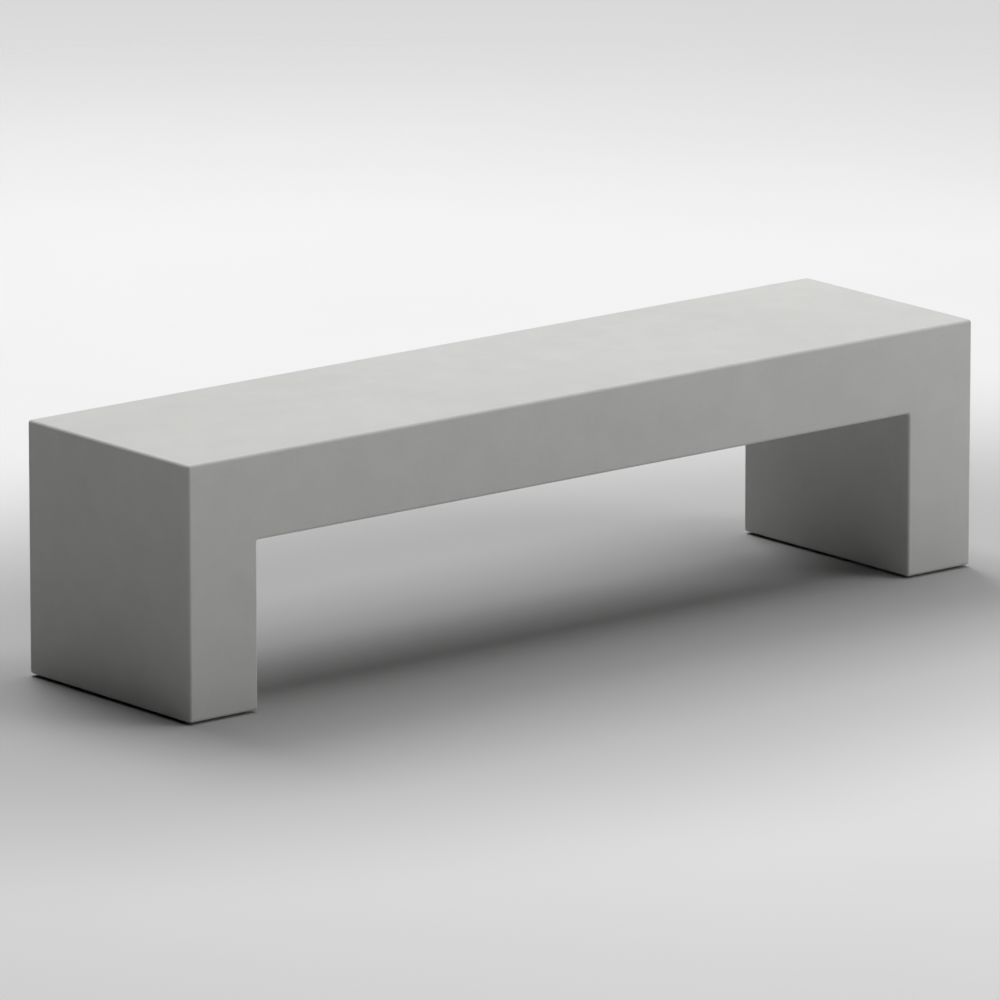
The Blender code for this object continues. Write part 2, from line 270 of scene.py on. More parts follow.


# %% [markdown]
# ## Fair-faced concrete
#
# Concrete from a clean steel mould is matte and nearly one colour, but never quite. Its cement
# paste dries in faint clouds some tens of centimetres wide, mottled every few centimetres, and
# close up there is sand under the skin and a pinprick here and there where a bubble met the
# mould. Painting one grey would look like plastic. So the grey is carried by three sizes of noise,
# each only a few hundredths strong, and pinpricks come from a cell texture: about one cell in six
# is allowed a sunken point, darkened with painted shade as if its hollow were in shadow.

# %% Patterns of concrete
PASTE_WARM = (0.505, 0.502, 0.489)
PASTE_COOL = (0.494, 0.496, 0.489)
PINPRICKS_PER_METRE = 210.0


def pinpricks(material, where, chosen_share):
    """1 in the middle of scattered points, 0.3 mm across with a soft rim, and 0 elsewhere."""
    cells = add_node(
        material,
        "ShaderNodeTexVoronoi",
        [("Vector", where), ("Scale", PINPRICKS_PER_METRE), ("Randomness", 1.0)],
    )
    hole = spread(material, cells.outputs["Distance"], 1.0, 0.0, start=0.03, stop=0.09, smooth=True)
    lottery = add_node(material, "ShaderNodeSeparateColor", [(0, cells.outputs["Color"])]).outputs[0]
    drawn = add_node(
        material,
        "ShaderNodeMath",
        [(0, lottery), (1, 1.0 - chosen_share)],
        operation="GREATER_THAN",
    ).outputs[0]
    return times(material, hole, drawn)


def concrete_tone(material, where, cloud, mottle, sand):
    """Lightness near 1; the three amounts say how far it strays at each size of pattern."""
    clouds = spread(material, grain(material, where, 2.3, 5.0), 1 - cloud, 1 + cloud)
    mottles = spread(material, grain(material, where, 19.0, 4.0, 0.6), 1 - mottle, 1 + mottle)
    grains = spread(material, grain(material, where, 620.0, 2.0, 0.65), 1 - sand, 1 + sand)
    return times(material, times(material, clouds, mottles), grains)


# %% [markdown]
# ## The fair face
#
# The patterns now meet in one material. Its gloss could be one number, but dry and denser spots of
# paste shine a little differently, so the roughness has a noise of its own. Real holes are modelled
# later, and only what is too small for the mesh is a bump: the mould's slight waves, the sand and
# the pinpricks.

# %% Fair face
PINPRICK_SHARE = 0.16
PINPRICK_PAINTED_SHADE = 0.55


def make_fair_faced():
    material = new_material("fair_faced_concrete", roughness=0.82, specular=0.3)
    where = places(material)
    warmth = spread(material, grain(material, where, scale=1.7), 0.0, 1.0)
    paste = blend_colours(material, warmth, PASTE_WARM, PASTE_COOL)
    pricks = pinpricks(material, where, PINPRICK_SHARE)
    # Each pinprick is darkened with painted shade, as if its hollow were in shadow.
    shadows = spread(material, pricks, 1.0, PINPRICK_PAINTED_SHADE, start=0.0, stop=1.0)
    tone = concrete_tone(material, where, cloud=0.030, mottle=0.022, sand=0.045)
    connect(material, shade_colour(material, paste, times(material, tone, shadows)), "Base Color")
    dryness = grain(material, where, scale=34.0)
    connect(material, spread(material, dryness, low=0.76, high=0.88), "Roughness")
    sunken = spread(material, pricks, 1.0, 0.0, start=0.0, stop=1.0)
    skin = bump(material, grain(material, where, scale=7.0), depth=0.0004)
    skin = bump(material, grain(material, where, scale=520.0, roughness=0.6), 0.00012, below=skin)
    skin = bump(material, sunken, depth=0.0003, below=skin)
    connect(material, skin, "Normal")
    return material


fair_faced = make_fair_faced()
print("concrete:", len(fair_faced.node_tree.nodes), "nodes")

# %% [markdown]
# ## Trowelled soles
#
# The bench is cast upside down, so that its seat lies on the smoothest part of the mould. The
# soles are then the only faces that no mould touches: someone strikes them off and trowels them.
# They are a little darker and rougher, with long faint sweeps. A second material does it. Noise
# that is stretched along one axis and bent by its own distortion reads as the marks of the blade.

# %% Trowelled concrete
SWEEP_STRETCH = (9.0, 90.0, 9.0)  # the sweeps are ten times longer than they are wide


def make_trowelled():
    material = new_material("trowelled_concrete", roughness=0.88, specular=0.25)
    where = places(material)
    along = places(material, SWEEP_STRETCH)
    sweeps = grain(material, along, scale=1.0, detail=4.0, roughness=0.6, distortion=1.2)
    tone = concrete_tone(material, where, cloud=0.05, mottle=0.05, sand=0.08)
    tone = times(material, tone, spread(material, sweeps, 0.86, 0.98))
    paste = blend_colours(material, sweeps, PASTE_COOL, PASTE_WARM)
    connect(material, shade_colour(material, paste, tone), "Base Color")
    connect(material, spread(material, sweeps, 0.78, 0.92), "Roughness")
    skin = bump(material, sweeps, depth=0.0012)
    skin = bump(material, grain(material, where, 300.0, detail=4.0, roughness=0.65), 0.0005, below=skin)
    connect(material, skin, "Normal")
    return material


trowelled = make_trowelled()
print("soles:", len(trowelled.node_tree.nodes), "nodes")

# %% [markdown]
# ## The casting's body
#
# The outline has eight corners, and everything else follows from three operators: a face is made
# on the outline, extruded to the full depth, and bevelled. The two inner corners are sharper than
# the outer arrises, as on the real casting, where the arrises keep their rubber fillets in the
# mould and the inside corners only the weld of two plates. So they are bevelled first, with their
# own radius. Eight segments make a 6 mm arris look turned, even from a hand's width away.

# %% Body of the casting
ARRIS_RADIUS = 0.006
ARRIS_SEGMENTS = 8
INNER_CORNER_RADIUS = 0.003
INNER_CORNER_SEGMENTS = 4


def casting_body():
    bm = bmesh.new()
    outline = [
        (-END, SOLE),
        (-LEG_INSIDE, SOLE),
        (-LEG_INSIDE, UNDERSIDE),
        (LEG_INSIDE, UNDERSIDE),
        (LEG_INSIDE, SOLE),
        (END, SOLE),
        (END, SEAT),
        (-END, SEAT),
    ]
    front = bm.faces.new([bm.verts.new((x, -BACK, z)) for x, z in outline])
    made = bmesh.ops.extrude_face_region(bm, geom=[front], use_keep_orig=True)
    moved = [item for item in made["geom"] if isinstance(item, bmesh.types.BMVert)]
    bmesh.ops.translate(bm, verts=moved, vec=(0, 2 * BACK, 0))
    bmesh.ops.recalc_face_normals(bm, faces=bm.faces)
    inner_corners = [e for e in bm.edges if not e.is_convex]
    bevel_edges(bm, inner_corners, INNER_CORNER_RADIUS, INNER_CORNER_SEGMENTS)
    arrises = [e for e in bm.edges if e.is_convex and e.calc_face_angle() > SHARP_ANGLE]
    bevel_edges(bm, arrises, ARRIS_RADIUS, ARRIS_SEGMENTS)
    return mesh_object("bench_casting", bm)


casting = casting_body()
describe(casting)

# %% [markdown]
# ## Air holes
#
# Bubbles that are caught against a mould leave small open holes. A vibrated casting of this
# quality has few, and they sit on the upright faces and under the seat, because air rises: against
# the bottom of the mould, which becomes the seat, it can't stay. They could be scattered evenly
# and the wrong ones deleted. Weighing each triangle by its area and by how many holes its face
# attracts puts them right at once.

# %% Where the air holes sit
HOLE_SPACING = 0.008
SEAT_SHARE = 0.03  # of the holes that an upright face of the same area gets
UNDERSIDE_SHARE = 0.7
LEVEL = 0.5  # a face is level when its normal rises or falls by more than this


def hole_share(face):
    """How many air holes a face attracts, beside an upright one of the same area."""
    if face.normal.z > LEVEL:
        return SEAT_SHARE
    if face.normal.z < -LEVEL:
        return UNDERSIDE_SHARE if face.center.z > (SOLE + SEAT) / 2 else 0.0
    return 1.0


def hole_places(obj, count, chance):
    """Scattered points on the object's surface, no two of them close."""
    mesh = obj.data
    mesh.calc_loop_triangles()
    triangles = list(mesh.loop_triangles)
    weights = [t.area * hole_share(mesh.polygons[t.polygon_index]) for t in triangles]
    found = []
    while len(found) < count:
        triangle = chance.choices(triangles, weights)[0]
        a, b, c = (mesh.vertices[i].co for i in triangle.vertices)
        u, v = sorted((chance.random(), chance.random()))
        point = a * u + b * (v - u) + c * (1 - v)
        if all((point - other).length > HOLE_SPACING for other in found):
            found.append(point)
    return found


# %% [markdown]
# ## Air holes
#
# Most holes are under 2 mm across and only a few are larger, which a random number to the third
# power gives. A bump would do from afar, but holes are shapes, so they are cut. Each is a low
# ball, squashed at random, and all of them are one cutter, because one Boolean with many balls is
# far quicker than many Booleans.

# %% Air holes
AIR_HOLES = 260
AIR_HOLE_SEED = 11
SMALLEST_HOLE_RADIUS = 0.00035
LARGEST_HOLE_RADIUS = 0.0013


def air_hole_cutter(obj):
    chance = random.Random(AIR_HOLE_SEED)
    bm = bmesh.new()
    for point in hole_places(obj, AIR_HOLES, chance):
        growth = (LARGEST_HOLE_RADIUS - SMALLEST_HOLE_RADIUS) * chance.random() ** 3
        radius = SMALLEST_HOLE_RADIUS + growth
        turn = Matrix.Rotation(chance.uniform(0, math.tau), 4, noise.random_unit_vector())
        squash = Matrix.Diagonal((1, chance.uniform(0.7, 1), chance.uniform(0.6, 0.9), 1))
        matrix = Matrix.Translation(point) @ turn @ squash
        bmesh.ops.create_icosphere(bm, subdivisions=2, radius=radius, matrix=matrix)
    return mesh_object("air_hole_cutter", bm)


noise.seed_set(AIR_HOLE_SEED)
air_holes = air_hole_cutter(casting)
describe(air_holes)

# %% [markdown]
# ## Round bars, straight and bent
#
# Steel bars are round, and a bender turns them about a pin, so each bend is an arc. That is just
# what the two operators do here: a ring of edges is extruded along each straight run and spun
# about the bend's centre at each corner. A bar that comes back to its start, such as a link of
# the cage, has its two last rings merged. An open one has its ends filled.

# %% Round bars
BAR_SIDES = 16
BEND_STEPS = 6


def extrude_ring(bm, edges, run):
    """Extrudes the ring by the vector run, and returns the new ring's edges."""
    made = bmesh.ops.extrude_edge_only(bm, edges=edges)["geom"]
    bmesh.ops.translate(bm, verts=[v for v in made if isinstance(v, bmesh.types.BMVert)], vec=run)
    return [e for e in made if isinstance(e, bmesh.types.BMEdge)]


def ring_verts(edges):
    """The ring's vertices, each once. A set would give them in another order in every run."""
    return list(dict.fromkeys(v for e in edges for v in e.verts))


def spin_ring(bm, edges, centre, axis):
    """Turns the ring a quarter turn about the axis, and returns the new ring's edges."""
    made = bmesh.ops.spin(
        bm,
        geom=ring_verts(edges) + edges,
        cent=centre,
        axis=axis,
        angle=math.pi / 2,
        steps=BEND_STEPS,
    )["geom_last"]
    return [e for e in made if isinstance(e, bmesh.types.BMEdge)]


def round_bar(start, bends, end, radius, bend_radius=0.0):
    """A bmesh of a round bar from start to end, with an arc at each of the right-angle bends."""
    bm = bmesh.new()
    stops = [*bends, end]
    heading = (stops[0] - start).normalized()
    placed = Matrix.Translation(start) @ heading.to_track_quat("Z", "Y").to_matrix().to_4x4()
    bmesh.ops.create_circle(bm, radius=radius, segments=BAR_SIDES, matrix=placed)
    ring = list(bm.edges)
    reached = start
    for corner, after in zip(bends, stops[1:]):
        leave = (after - corner).normalized()
        ring = extrude_ring(bm, ring, corner - heading * bend_radius - reached)
        centre = corner + (leave - heading) * bend_radius
        ring = spin_ring(bm, ring, centre, heading.cross(leave))
        reached = corner + leave * bend_radius
        heading = leave
    extrude_ring(bm, ring, end - reached)
    if (end - start).length < SAME_PLACE:
        bmesh.ops.remove_doubles(bm, verts=bm.verts, dist=MERGE_DISTANCE)
    else:
        bmesh.ops.holes_fill(bm, edges=[e for e in bm.edges if e.is_boundary], sides=0)
    bmesh.ops.recalc_face_normals(bm, faces=bm.faces)
    return bm


# %% [markdown]
# ## The cage's centre lines
#
# Each bar of the cage already has its place in the CAD model, as a plain eight-sided stand-in. A
# bar's box says all that a centre line needs: the longest side of a straight bar is its length,
# and the shortest side of a link is its wire's thickness. Only the bend radii are added, which
# follow from the pins that bars of these thicknesses are bent round.

# %% Centre lines
PORTAL_BEND_RADIUS = 0.040
LINK_BEND_RADIUS = 0.015
AXES = (Vector((1, 0, 0)), Vector((0, 1, 0)), Vector((0, 0, 1)))


def sides_by_length(node):
    """The box's three half sides, shortest first, each as a vector."""
    low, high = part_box(node)
    return sorted(((high - low)[i] / 2 * AXES[i] for i in range(3)), key=lambda side: side.length)


def straight_line(node):
    """(start, bends, end, radius, bend radius) of a straight bar."""
    thin, _, long = sides_by_length(node)
    middle = middle_of(node)
    return middle - long, [], middle + long, thin.length, 0.0


def link_line(node):
    """The same of a closed link, from the middle of one of its sides."""
    thin, short, long = sides_by_length(node)
    wire = thin.length
    short = short.normalized() * (short.length - wire)
    long = long.normalized() * (long.length - wire)
    middle = middle_of(node)
    bends = [middle + a * short + b * long for a, b in ((-1, 1), (1, 1), (1, -1), (-1, -1))]
    return middle - short, bends, middle - short, wire, LINK_BEND_RADIUS


def portal_line(node):
    """The same of a bar that runs up one leg, under the seat's face and down the other leg."""
    low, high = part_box(node)
    bar = (high.y - low.y) / 2
    across = (low.y + high.y) / 2
    left, right, top = low.x + bar, high.x - bar, high.z - bar
    bends = [Vector((left, across, top)), Vector((right, across, top))]
    start, end = Vector((left, across, low.z)), Vector((right, across, low.z))
    return start, bends, end, bar, PORTAL_BEND_RADIUS


def line_of(node):
    if node.startswith("portal_bar"):
        return portal_line(node)
    return link_line(node) if "_link_" in node else straight_line(node)


ribbed_nodes = sorted(n for n in cad_nodes if "_bar_" in n)
plain_nodes = sorted(n for n in cad_nodes if "_link_" in n or n.endswith("_cross_pin"))
print("cage:", len(ribbed_nodes), "ribbed bars,", len(plain_nodes), "links and pins")

# %% [markdown]
# ## One rib of a reinforcing bar
#
# The main bars are rolled with ribs that key into the concrete: a slanted crescent on each flank,
# again and again, and a thin ridge along the bar between the flanks. One pitch of it is enough to
# model. A circle is extruded to make six rings. The third and the fourth are stretched sideways,
# which raises a crescent that fades out by itself, and a shear slants it. All of a bar, crests
# included, stays within the diameter that the CAD model gives it.

# %% One pitch of a ribbed bar
RIB_PITCH = 0.007
RIB_SIDES = 12
CORE_SHARE = 0.90  # the core's diameter over the crests'
RIDGE_SHARE = 0.96
RIB_SLANT = 0.35
RIB_STATIONS = (0.28, 0.42, 0.58, 0.72, 1.0)  # where each ring after the first stands, over the pitch
RIB_CRESTS = (2, 3)  # the rings, counted from 0, that the crescent is raised on
TOWARDS_X = Matrix.Rotation(math.pi / 2, 4, "Y")


def one_pitch(pitch, radius):
    """A bmesh of one pitch of a ribbed bar, along +X from the origin, open at both ends."""
    bm = bmesh.new()
    core = radius * CORE_SHARE
    bmesh.ops.create_circle(bm, radius=core, segments=RIB_SIDES, matrix=TOWARDS_X)
    rings = [list(bm.edges)]
    station = 0.0
    for share in RIB_STATIONS:
        rings.append(extrude_ring(bm, rings[-1], Vector((share * pitch - station, 0, 0))))
        station = share * pitch
    ridges = [v for v in bm.verts if abs(v.co.z) > core - SAME_PLACE]
    bmesh.ops.scale(bm, verts=ridges, vec=(1, 1, RIDGE_SHARE / CORE_SHARE))
    for crest in RIB_CRESTS:
        bmesh.ops.scale(bm, verts=ring_verts(rings[crest]), vec=(1, 1 / CORE_SHARE, 1))
    slanted = [v for ring in rings[1:-1] for v in ring_verts(ring)]
    shear = Matrix.Shear("YZ", 4, (0, RIB_SLANT))
    bmesh.ops.transform(bm, matrix=shear, verts=slanted)
    return bm


# %% [markdown]
# ## Whole ribbed bars
#
# An Array modifier repeats the pitch along the bar, and its merge closes the seams. Straight bars
# are then only turned and moved. The three bars that run through both legs and the seat follow a
# Bezier curve with a Curve modifier, ribs and all, as if the finished bar were bent in a bar
# bender. A Bezier curve can't be a true arc, but with handles of the right length it strays from a
# quarter circle by less than a thousandth of the radius.

# %% Guides for the bent bars
QUARTER_HANDLE = 4 / 3 * math.tan(math.pi / 8)  # over the radius, the handle for a quarter circle
CURVE_STEPS = 16


def path_length(start, bends, end, bend_radius):
    points = [start, *bends, end]
    straight = sum((b - a).length for a, b in zip(points, points[1:]))
    return straight - len(bends) * (2 - math.pi / 2) * bend_radius


def bent_guide(start, bends, end, bend_radius):
    """A curve object with straight runs, and a quarter circle at each bend."""
    stops = [start, *bends, end]
    knots = [(start, start, start)]
    for before, corner, after in zip(stops, bends, stops[2:]):
        arrive = (corner - before).normalized() * bend_radius
        leave = (after - corner).normalized() * bend_radius
        into, out = corner - arrive, corner + leave
        knots.append((into, into, into + arrive * QUARTER_HANDLE))
        knots.append((out - leave * QUARTER_HANDLE, out, out))
    knots.append((end, end, end))
    curve = bpy.data.curves.new("guide", "CURVE")
    curve.dimensions = "3D"
    curve.resolution_u = CURVE_STEPS
    spline = curve.splines.new("BEZIER")
    spline.bezier_points.add(len(knots) - 1)
    for point, (left, middle, right) in zip(spline.bezier_points, knots):
        point.handle_left_type = point.handle_right_type = "FREE"
        point.handle_left, point.co, point.handle_right = left, middle, right
    guide = bpy.data.objects.new("guide", curve)
    bpy.context.scene.collection.objects.link(guide)
    return guide


# %% [markdown]
# ## The bars from their pitches
#
# The pitch is stretched by a hair so that a whole number of them fills the bar. Leaving the
# modifiers live would work as well, but the guide curve would have to stay in the scene. So they
# are made into a plain mesh, and the open ends are filled.

# %% Ribbed bars
def fill_ends(obj):
    bm = bmesh.new()
    bm.from_mesh(obj.data)
    bmesh.ops.remove_doubles(bm, verts=bm.verts, dist=MERGE_DISTANCE)
    bmesh.ops.holes_fill(bm, edges=[e for e in bm.edges if e.is_boundary], sides=0)
    bmesh.ops.recalc_face_normals(bm, faces=bm.faces)
    bm.to_mesh(obj.data)
    bm.free()


def ribbed_bar(name, start, bends, end, radius, bend_radius):
    length = path_length(start, bends, end, bend_radius)
    count = round(length / RIB_PITCH)
    obj = mesh_object(name, one_pitch(length / count, radius))
    array = obj.modifiers.new("pitches", "ARRAY")
    array.count = count
    array.use_relative_offset = False
    array.use_constant_offset = True
    array.constant_offset_displace = (length / count, 0, 0)
    array.use_merge_vertices = True
    array.merge_threshold = MERGE_DISTANCE
    if bends:
        guide = bent_guide(start, bends, end, bend_radius)
        obj.modifiers.new("bends", "CURVE").object = guide
        settle_modifiers(obj)
        bpy.data.objects.remove(guide)
    else:
        settle_modifiers(obj)
        turn = (end - start).to_track_quat("X", "Z").to_matrix().to_4x4()
        obj.data.transform(Matrix.Translation(start) @ turn)
    fill_ends(obj)
    return obj


# %% [markdown]
# ## Mill scale and rust
#
# Hot-rolled bar leaves the mill under a dark blue-grey skin of scale. In a few weeks in the yard
# the scale flakes and brown rust comes up between. Two materials on chosen faces would show hard
# edges, so one noise decides where rust has won, with a soft edge, and finer ones speckle and
# roughen it. Scale is a thin oxide on metal, so the surface stays mostly metallic, and only its
# colour and its roughness change.

# %% Mill scale
SCALE_COLOUR = (0.105, 0.105, 0.115)
RUST_COLOUR = (0.235, 0.120, 0.065)


def make_mill_scale():
    material = new_material("mill_scale_steel", roughness=0.6, metallic=0.75)
    where = places(material)
    patches = grain(material, where, scale=70.0, detail=5.0, roughness=0.65)
    rusted = spread(material, patches, 0.0, 1.0, start=0.42, stop=0.62, smooth=True)
    colour = blend_colours(material, rusted, SCALE_COLOUR, RUST_COLOUR)
    speckles = spread(material, grain(material, where, scale=900.0), 0.75, 1.25)
    connect(material, shade_colour(material, colour, speckles), "Base Color")
    connect(material, spread(material, rusted, 0.48, 0.85, start=0.0, stop=1.0), "Roughness")
    pits = grain(material, where, scale=1400.0, detail=4.0, roughness=0.6)
    connect(material, bump(material, pits, depth=0.0001), "Normal")
    return material


mill_scale = make_mill_scale()
print("bars:", mill_scale.name)

# %% [markdown]
# ## Zinc plating
#
# The sockets and their cross pins are turned on a lathe and plated, so that they don't rust where
# the concrete is open. Zinc is pale, a little cloudy, and follows every mark under it. The lathe's
# marks are rings round an upright socket. Real grooves would be finer than the mesh, and noise
# squeezed along the height gives the same rings to the gloss and the bump.

# %% Zinc
ZINC_PALE = (0.66, 0.66, 0.63)
ZINC_DULL = (0.56, 0.57, 0.58)
LATHE_SQUEEZE = (1.0, 1.0, 60.0)


def make_zinc():
    material = new_material("zinc_plating", roughness=0.35, metallic=1.0)
    where = places(material)
    clouds = spread(material, grain(material, where, scale=160.0, detail=4.0), 0.0, 1.0)
    connect(material, blend_colours(material, clouds, ZINC_PALE, ZINC_DULL), "Base Color")
    tooling = grain(material, places(material, LATHE_SQUEEZE), scale=120.0, detail=2.0)
    connect(material, spread(material, tooling, low=0.26, high=0.46), "Roughness")
    connect(material, bump(material, tooling, depth=0.00004), "Normal")
    return material


zinc = make_zinc()
print("sockets and pins:", zinc.name)

# %% [markdown]
# ## Build the cage
#
# Every stand-in of the cage is now replaced by its real bar, one for one, so each can still be
# named and counted. The bars with ribs take the array, and the thin links and the cross pins
# through the sockets, which are plain round steel, take the simple sweep.

# %% Build the cage
for node in ribbed_nodes:
    bar = ribbed_bar(node + "_ribbed", *line_of(node))
    finish_piece(bar, mill_scale, [node])

for node in plain_nodes:
    steel = mesh_object(node + "_round", round_bar(*line_of(node)))
    if node.endswith("_cross_pin"):
        finish_piece(steel, zinc, [node])
    else:
        finish_piece(steel, mill_scale, [node])

describe(bpy.data.objects["portal_bar_front_ribbed"])
describe(bpy.data.objects["seat_link_1_round"])

# %% [markdown]
# ## Blocks, plates and cuts
#
# The small moulded pieces start as blocks, and so do the tools that cut them. A cube that is
# scaled and moved by one matrix is a block between any two corners. Rounding only its upright
# edges makes it a plate. Cutting is a Boolean, which keeps a block's faces crisp, where insets
# and extrusions would need the faces to be divided by hand first.

# %% Blocks, plates and cuts
PAD_CORNER_RADIUS = 0.010
PAD_CORNER_SEGMENTS = 8
PAST = 0.004  # how far a cut runs past the face that it opens
UPRIGHT = 0.9  # an edge is upright when it climbs by more than this share of its length


def block(bm, low, high):
    """A box between two corners, as new geometry in the bmesh; returns its vertices."""
    size = high - low
    matrix = Matrix.Translation((low + high) / 2) @ Matrix.Diagonal((*size, 1))
    return bmesh.ops.create_cube(bm, size=1, matrix=matrix)["verts"]


def upright_edges(bm):
    return [e for e in bm.edges if abs((e.verts[0].co - e.verts[1].co).normalized().z) > UPRIGHT]


def rounded_plate(low, high, corner_radius):
    bm = bmesh.new()
    block(bm, low, high)
    bevel_edges(bm, upright_edges(bm), corner_radius, PAD_CORNER_SEGMENTS)
    return bm


def subtract(obj, cutters):
    """Cuts each of the cutters from the object, and removes them."""
    for cutter in cutters:
        modifier = obj.modifiers.new("cut", "BOOLEAN")
        modifier.operation = "DIFFERENCE"
        modifier.solver = "EXACT"
        modifier.object = cutter
    settle_modifiers(obj)
    for cutter in cutters:
        bpy.data.objects.remove(cutter)


# %% [markdown]
# ## Pads under the soles
#
# Four black rubber pads keep the concrete off the paving, so that it doesn't chip or trap water.
# Each is a moulded plate with round corners, let half into the sole. One bevel rounds the plate's
# four upright edges and a second, finer one its rims. The tread underneath could be a bump, but
# grooves are what grips and drains, so real ones are cut, by bars that run both ways.

# %% Pads
PAD_RIM_RADIUS = 0.0009
PAD_RIM_SEGMENTS = 3
TREAD_GROOVES = 6
TREAD_GROOVE_WIDTH = 0.0028
TREAD_GROOVE_DEPTH = 0.0015


def grooves_along(axis, low, high):
    """Bars for the tread that run along X (axis 0) or Y (axis 1), side by side under a pad."""
    bm = bmesh.new()
    across = 1 - axis
    pitch = (high[across] - low[across]) / TREAD_GROOVES
    for i in range(TREAD_GROOVES):
        line = low[across] + (i + 0.5) * pitch
        start, stop = low.copy(), high.copy()
        start[axis] -= PAST
        stop[axis] += PAST
        start[across] = line - TREAD_GROOVE_WIDTH / 2
        stop[across] = line + TREAD_GROOVE_WIDTH / 2
        start.z = low.z - PAST
        stop.z = low.z + TREAD_GROOVE_DEPTH
        block(bm, start, stop)
    return mesh_object("tread_cutter", bm)


def make_pad(node):
    low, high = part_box(node)
    bm = rounded_plate(low, high, PAD_CORNER_RADIUS)
    rims = [e for e in bm.edges if e.calc_face_angle() > SHARP_ANGLE]
    bevel_edges(bm, rims, PAD_RIM_RADIUS, PAD_RIM_SEGMENTS)
    pad = mesh_object(node + "_moulded", bm)
    subtract(pad, [grooves_along(0, low, high), grooves_along(1, low, high)])
    pad.data.set_sharp_from_angle(angle=SHARP_ANGLE)
    return pad


# %% [markdown]
# ## Rubber
#
# Moulded rubber is nearly black and dull, with a very fine grain from its mould and a bloom of
# pale dust that settles in patches. One black would hide the tread, so the patches lighten the
# colour, and they make it rougher still.

# %% Rubber finish
RUBBER_COLOUR = (0.022, 0.022, 0.022)
BLOOM_COLOUR = (0.042, 0.041, 0.039)


def make_rubber():
    material = new_material("black_rubber", roughness=0.8, specular=0.35)
    where = places(material)
    patches = grain(material, where, scale=45.0, detail=4.0)
    bloom = spread(material, patches, 0.0, 1.0, smooth=True)
    connect(material, blend_colours(material, bloom, RUBBER_COLOUR, BLOOM_COLOUR), "Base Color")
    connect(material, spread(material, bloom, 0.70, 0.90, start=0.0, stop=1.0), "Roughness")
    mould_grain = grain(material, where, scale=1800.0, detail=2.0)
    connect(material, bump(material, mould_grain, depth=0.00008), "Normal")
    return material


rubber = make_rubber()
pad_nodes = sorted(n for n in cad_nodes if n.endswith("_pad"))
for node in pad_nodes:
    pad = make_pad(node)
    finish_piece(pad, rubber, [node])
describe(pad)

# %% [markdown]
# ## Turned shapes
#
# A plug, and the bore that a socket sits in, are round about an upright axis. Cylinders could be
# stacked for them, but it is simpler to draw half of the outline once and spin it a full turn. The
# ends of the outline lie on the axis, where their copies fall together and are merged.

# %% Turned shapes
TURNED_STEPS = 48


def spun(profile, centre):
    """A bmesh of the (radius, height) profile, whose ends are on the axis, spun about the centre."""
    bm = bmesh.new()
    verts = [bm.verts.new((centre.x + radius, centre.y, height)) for radius, height in profile]
    edges = [bm.edges.new(pair) for pair in zip(verts, verts[1:])]
    bmesh.ops.spin(
        bm,
        geom=verts + edges,
        cent=centre,
        axis=(0, 0, 1),
        angle=math.tau,
        steps=TURNED_STEPS,
        use_merge=True,
    )
    bmesh.ops.remove_doubles(bm, verts=bm.verts, dist=MERGE_DISTANCE)
    bmesh.ops.recalc_face_normals(bm, faces=bm.faces)
    return bm


# %% [markdown]
# ## Plugs in the sockets
#
# The casting is lifted from its mould by the sockets in its soles, which face up there. Before it
# is turned over, a plastic plug closes each one. It has a flat cap with a rounded rim, and a stem
# whose steps grip the socket. The steps could be left out, because the socket hides them, but a
# plug can be taken out and looked at. So they are part of the outline. The coin slot is cut last.

# %% Plugs
PLUG_STEM_RADIUS = 0.0067
PLUG_TOOTH = 0.0004
PLUG_TEETH = 4
PLUG_RIM_RADIUS = 0.0007
PLUG_RIM_SEGMENTS = 4
CAP_THICKNESS = 0.0025
COIN_SLOT_LENGTH = 0.014
COIN_SLOT_WIDTH = 0.002
COIN_SLOT_DEPTH = 0.0012
COIN_SLOT_ROUNDING = 0.499  # over its width: just under half, so that the two curves don't meet


def plug_profile(under, top, cap_radius):
    """From the middle of the cap's face, round the rim and up the toothed stem."""
    cap_top = under + CAP_THICKNESS
    tooth = (top - cap_top - PLUG_TOOTH) / PLUG_TEETH
    root = PLUG_STEM_RADIUS - PLUG_TOOTH
    profile = [(0, under), (cap_radius, under), (cap_radius, cap_top), (PLUG_STEM_RADIUS, cap_top)]
    for i in range(1, PLUG_TEETH + 1):
        level = cap_top + i * tooth
        profile.append((root, level))
        if i < PLUG_TEETH:
            profile.append((PLUG_STEM_RADIUS, level))
    return [*profile, (root, top), (0, top)]


def coin_slot(centre, under):
    bm = bmesh.new()
    half = Vector((COIN_SLOT_LENGTH, COIN_SLOT_WIDTH, 0)) / 2
    middle = Vector((centre.x, centre.y, under))
    block(bm, middle - half - Vector((0, 0, PAST)), middle + half + Vector((0, 0, COIN_SLOT_DEPTH)))
    bevel_edges(bm, upright_edges(bm), COIN_SLOT_WIDTH * COIN_SLOT_ROUNDING, PLUG_RIM_SEGMENTS)
    return mesh_object("coin_slot_cutter", bm)


def make_plug(node):
    low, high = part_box(node)
    centre = middle_of(node)
    bm = spun(plug_profile(low.z, high.z, (high.x - low.x) / 2), centre)
    cap_edges = [e for e in bm.edges if all(abs(v.co.z - low.z) < SAME_PLACE for v in e.verts)]
    rim = [e for e in cap_edges if e.calc_face_angle() > SHARP_ANGLE]
    bevel_edges(bm, rim, PLUG_RIM_RADIUS, PLUG_RIM_SEGMENTS)
    plug = mesh_object(node + "_moulded", bm)
    subtract(plug, [coin_slot(centre, low.z)])
    plug.data.set_sharp_from_angle(angle=SHARP_ANGLE)
    return plug


# %% [markdown]
# ## Plastic
#
# The plugs are moulded from dark grey plastic. It is the same all through, apart from a slight
# drift in tone where the melt flowed, and its sheen is broken by the fine grain of the mould. A
# noise near one carries the drift and a very fine one the grain.

# %% Plastic
PLASTIC_DARK = (0.043, 0.043, 0.046)
PLASTIC_GREY = (0.049, 0.049, 0.052)


